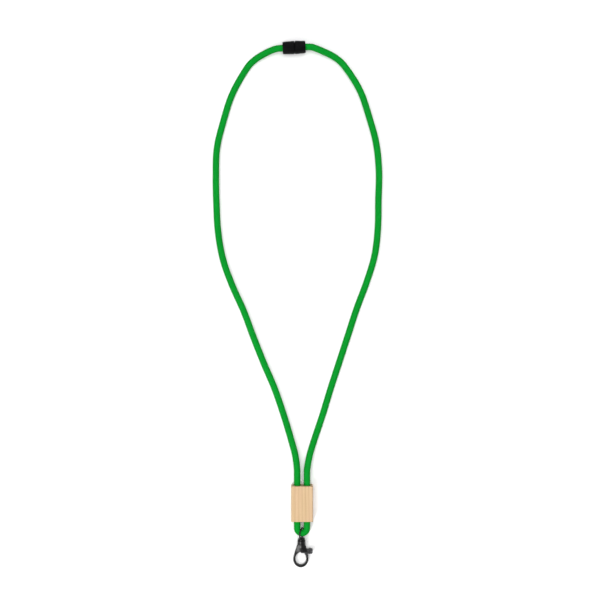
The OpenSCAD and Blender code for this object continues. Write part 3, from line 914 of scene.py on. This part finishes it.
def trigger_distance(p):
    """Hub on the rivet, gate arm, thumb tab with dished faces, and the spring's seat."""
    reach = away_from_pivot(p)
    hub = reach - HUB_R
    arm = np.maximum(polygon_distance(p, GATE_OUTLINE), reach - GATE_REACH)
    link = box_distance(p, (pivot[0], -18.6, -9), (TAB_AT[0], -14.5, 9))
    lever = slab(np.minimum(smooth_min(hub, arm, 0.6), link), p, TRIGGER_T / 2, 0.25)
    off_tab = np.maximum(np.abs(p[..., :2] - TAB_AT) - TAB_HALF, 0)
    tab_flat = np.maximum(np.linalg.norm(off_tab, axis=-1) - TAB_CORNER, TAB_ROOT - p[..., 0])
    dish = np.linalg.norm(p - (*DISH_AT, DISH_UP), axis=-1) - DISH_R
    dish_under = np.linalg.norm(p - (*DISH_AT, -DISH_UP), axis=-1) - DISH_R
    tab = smooth_max(slab(tab_flat, p, TAB_HALF_T, TAB_EDGE), -np.minimum(dish, dish_under), 0.2)
    whole = smooth_min(lever, tab, 0.3)
    seat = rod_distance(p, (*pivot, SEAT_FLOOR), (*pivot, 4), SPRING_SEAT_R)
    leg = box_distance(p, (pivot[0], pivot[1] - 2.4, SEAT_FLOOR), (pivot[0] + 3.2, pivot[1], 4))
    hole = rod_distance(p, (*pivot, -5), (*pivot, 5), RIVET_HOLE_R)
    return np.maximum(whole, -np.minimum(np.minimum(seat, leg), hole))


def eye_distance(p):
    """Wire ring with a solid root, collar, stem and head."""
    turn = math.radians(EYE_TURN)
    across = p[..., 0] * math.cos(turn) - p[..., 2] * math.sin(turn)
    off_plane = p[..., 0] * math.sin(turn) + p[..., 2] * math.cos(turn)
    out = np.hypot(across, p[..., 1] - EYE_UP)
    ring = np.hypot(out - EYE_R, off_plane) - WIRE_R
    root = np.maximum(out - EYE_R, p[..., 1] - EYE_UP + EYE_WEB)
    ring = smooth_min(ring, smooth_max(root, np.abs(off_plane) - WIRE_R, 0.3), 0.3)
    collar = rod_distance(p, (0, -4.7, 0), (0, -6.2, 0), COLLAR_R, 0.45)
    stem = rod_distance(p, (0, -5.5, 0), (0, -10.2, 0), STEM_R)
    head = rod_distance(p, (0, -9.3, 0), (0, -10.2, 0), HEAD_R, 0.3)
    return np.minimum(smooth_min(ring, collar, 0.5), np.minimum(stem, head))


def hook():
    """Casting, trigger and eye from their distance functions, then the rivet and the spring."""
    black = coated_metal("black_coating", (0.0025, 0.0025, 0.0028), (0.009, 0.009, 0.01), 0.34)
    # Painted highlight: the trigger is black like the casting, but gets a lighter copy of the black coating
    # that stands in for light on its flat faces.
    painted_lit_black = coated_metal("painted_lit_black_coating", (0.022, 0.022, 0.024), (0.05, 0.05, 0.053), 0.36)
    fine = 0.125
    parts = (
        ("hook_casting", hook_distance, ((-8, -33.2, -3.9), (8, -5.6, 3.9)), black,
         "hook", "hook_body", "hook_black"),
        ("thumb_trigger", trigger_distance, ((-3.5, -25, -2), (11, -12, 2)), painted_lit_black,
         "trigger", "trigger", "trigger_black"),
        ("wire_eye", eye_distance, ((-4, -11, -6), (4, 6, 6)), black,
         "eye", "swivel_eye", "hook_black"),
    )
    for name, distance, room, material, body, node, slot in parts:
        obj = solid(name, distance, *room, fine, hook_matrix)
        tidy(obj, 180)
        obj.data.materials.append(material)
        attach(obj, body)
        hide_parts(node)
    rivet()
    spring()


def rivet():
    """Pin with a low domed head on each side."""
    half = BODY_T / 2
    side = [(half + DOME * math.cos(t), RIVET_HEAD_R * math.sin(t)) for t in np.linspace(0, math.pi / 2, 9)]
    side += [(half - SKIRT, RIVET_HEAD_R), (half - SKIRT, RIVET_R)]
    profile = side + [(-x, r) for x, r in side[::-1]]
    turned = Matrix(((0, 1, 0, pivot[0]), (0, 0, 1, pivot[1]), (1, 0, 0, 0), (0, 0, 0, 1)))
    obj = lathe("trigger_pin", profile, hook_matrix @ turned, 48)
    coating = coated_metal("rivet_coating", (0.006, 0.006, 0.0065), (0.03, 0.03, 0.032), 0.32)
    obj.data.materials.append(coating)
    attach(obj, "hook")
    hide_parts("trigger_rivet")


def spring():
    """Torsion spring of two and a half turns with straight legs."""
    wire, coil_r, seat, leg, turns, pitch = 0.15, 1.4, 0.33, 2.6, 2.5, 0.31
    line = [(leg, -coil_r, seat)]
    for t in np.linspace(0, turns, 76):
        angle = 2 * math.pi * t - math.pi / 2
        line.append((coil_r * math.cos(angle), coil_r * math.sin(angle), seat + pitch * t))
    line.append((-leg, coil_r, seat + pitch * turns))
    curve = bpy.data.curves.new("closing_spring", "CURVE")
    curve.dimensions = "3D"
    curve.bevel_depth = wire * MM
    curve.bevel_resolution = 3
    curve.use_fill_caps = True
    path = curve.splines.new("POLY")
    path.points.add(len(line) - 1)
    local = [(x + pivot[0], y + pivot[1], z) for x, y, z in line]
    for point, at in zip(path.points, place(local, hook_matrix)):
        point.co = (*at, 1)
    made = bpy.data.objects.new("closing_spring_line", curve)
    bpy.context.scene.collection.objects.link(made)
    bpy.context.view_layer.update()
    mesh = bpy.data.meshes.new_from_object(made.evaluated_get(bpy.context.evaluated_depsgraph_get()))
    bpy.data.objects.remove(made)
    mesh.shade_smooth()
    obj = bpy.data.objects.new("closing_spring", mesh)
    bpy.context.scene.collection.objects.link(obj)
    obj.data.materials.clear()
    obj.data.materials.append(bare_metal("spring_wire", (0.5, 0.5, 0.52), 0.3, 6))
    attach(obj, "hook")
    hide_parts("trigger_spring")


stage()
cords()
slider()
clasp()
hook()
